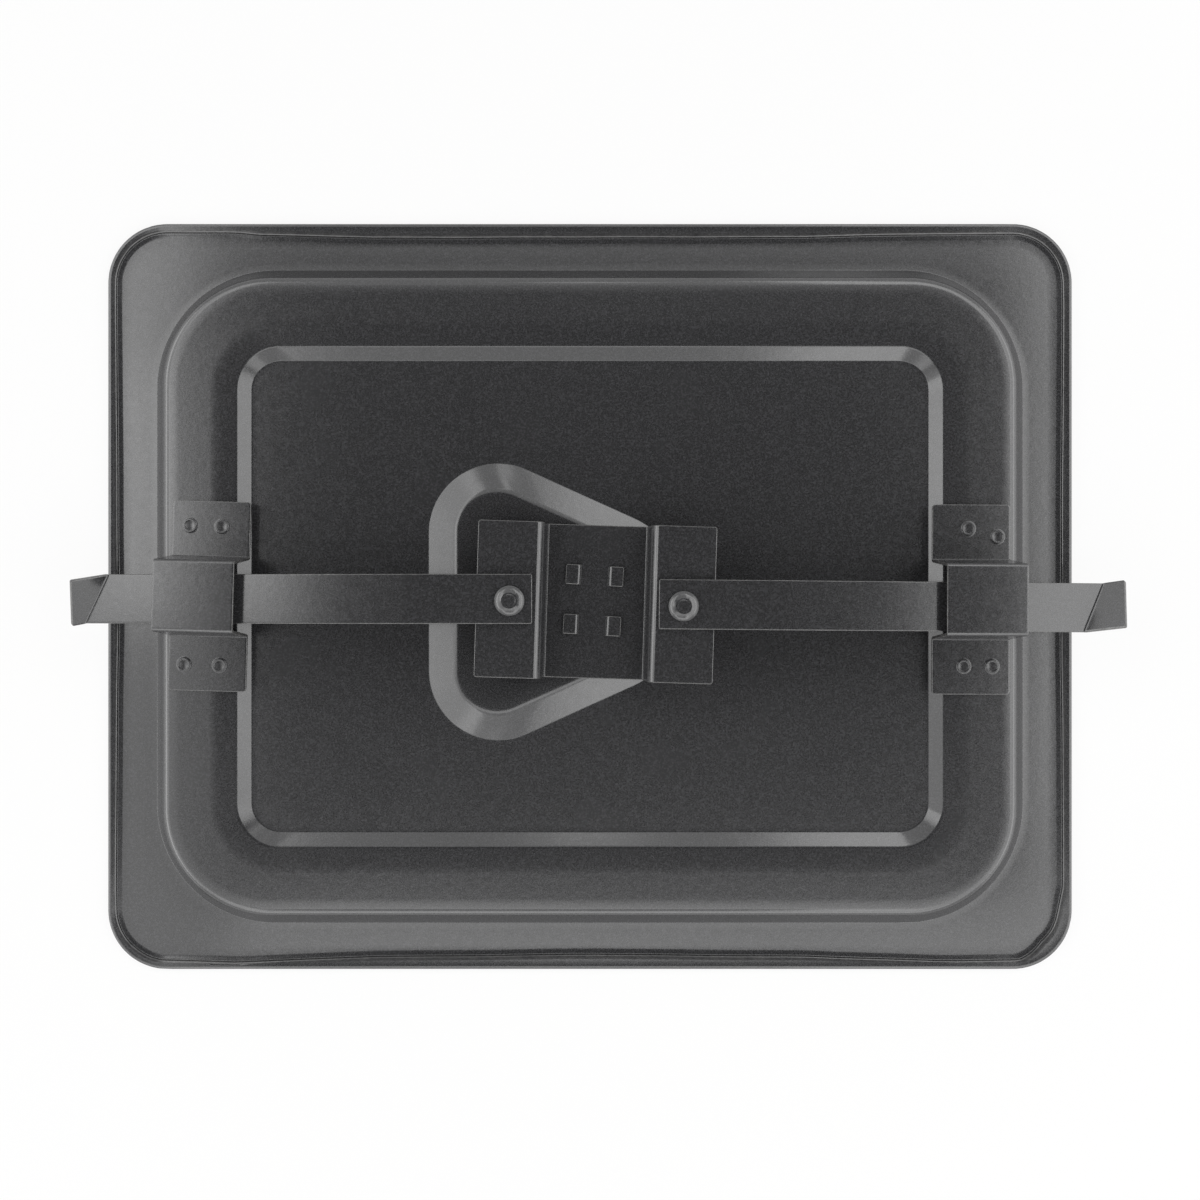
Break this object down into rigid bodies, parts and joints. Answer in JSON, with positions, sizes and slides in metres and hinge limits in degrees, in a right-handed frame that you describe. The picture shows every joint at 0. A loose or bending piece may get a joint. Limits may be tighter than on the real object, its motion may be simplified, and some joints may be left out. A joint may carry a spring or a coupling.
{
  "type": "twist-lock box lid",
  "caption": "Rectangular pressed-steel box lid, inner side up: a turning crank plate draws two flat strap bolts through guides, worked by a folding wire bail on the outside.",
  "frame": {"origin": "middle of the lid's rectangle, on the plane of the hem that the lid rests on; the bounding box's middle lies 1.8 mm towards +X of it, since the wings differ in length", "axes": "+X along the bolts and the lid's length, +Y across its width, +Z out of the inner side, up, with the lid lying on its outer side"},
  "size_m": [0.2701, 0.2014, 0.0218],
  "materials": {
    "panel_enamel": "satin black enamel sprayed on pressed steel sheet, faint orange peel",
    "guide_enamel": "satin black enamel on folded steel strip",
    "crank_enamel": "satin black enamel on folded steel plate",
    "bolt_enamel": "satin black enamel on flat steel strap",
    "rivet_enamel": "satin black enamel on upset steel rivet",
    "hub_enamel": "satin black enamel on drawn steel",
    "bail_enamel": "satin black enamel on bent steel wire",
    "washer_steel": "plain steel, lightly oiled",
    "spring_steel": "blued spring strip"
  },
  "bodies": {
    "lid": {"lid_panel": "panel_enamel", "left_guide": "guide_enamel", "right_guide": "guide_enamel", "hub_bearing": "washer_steel", "inner_thrust_washer": "washer_steel", "outer_thrust_washer": "washer_steel", "friction_washer": "spring_steel"},
    "crank": {"crank_plate": "crank_enamel", "handle_hub": "hub_enamel", "left_rivet": "rivet_enamel", "right_rivet": "rivet_enamel", "left_burr_washer": "washer_steel", "right_burr_washer": "washer_steel"},
    "bail": {"bail_handle": "bail_enamel"},
    "left_bolt": {"left_bolt": "bolt_enamel", "left_spacer_washer": "washer_steel"},
    "right_bolt": {"right_bolt": "bolt_enamel", "right_spacer_washer": "washer_steel"}
  },
  "joints": [
    {"name": "crank_turn", "type": "hinge", "parent": "lid", "child": "crank", "pos_m": [0.0014, -0.0014, 0.0085], "axis": [0, 0, 1], "range_deg": [0, 45]},
    {"name": "bail_fold", "type": "hinge", "parent": "crank", "child": "bail", "pos_m": [-0.0046, -0.00121, 0.0022], "axis": [-0.0314, -0.9995, 0], "range_deg": [0, 95]},
    {"name": "left_bolt_swing", "type": "hinge", "parent": "crank", "child": "left_bolt", "pos_m": [-0.0207, -0.00106, 0.0177], "axis": [0, 0, 1], "range_deg": [-57, 0.5]},
    {"name": "right_bolt_swing", "type": "hinge", "parent": "crank", "child": "right_bolt", "pos_m": [0.02348, -0.00244, 0.0177], "axis": [0, 0, 1], "range_deg": [-56, 0.5]}
  ],
  "couplings": [
    {"joint": "left_bolt_swing", "follows": "crank_turn", "ratio": -1.246},
    {"joint": "right_bolt_swing", "follows": "crank_turn", "ratio": -1.22}
  ]
}
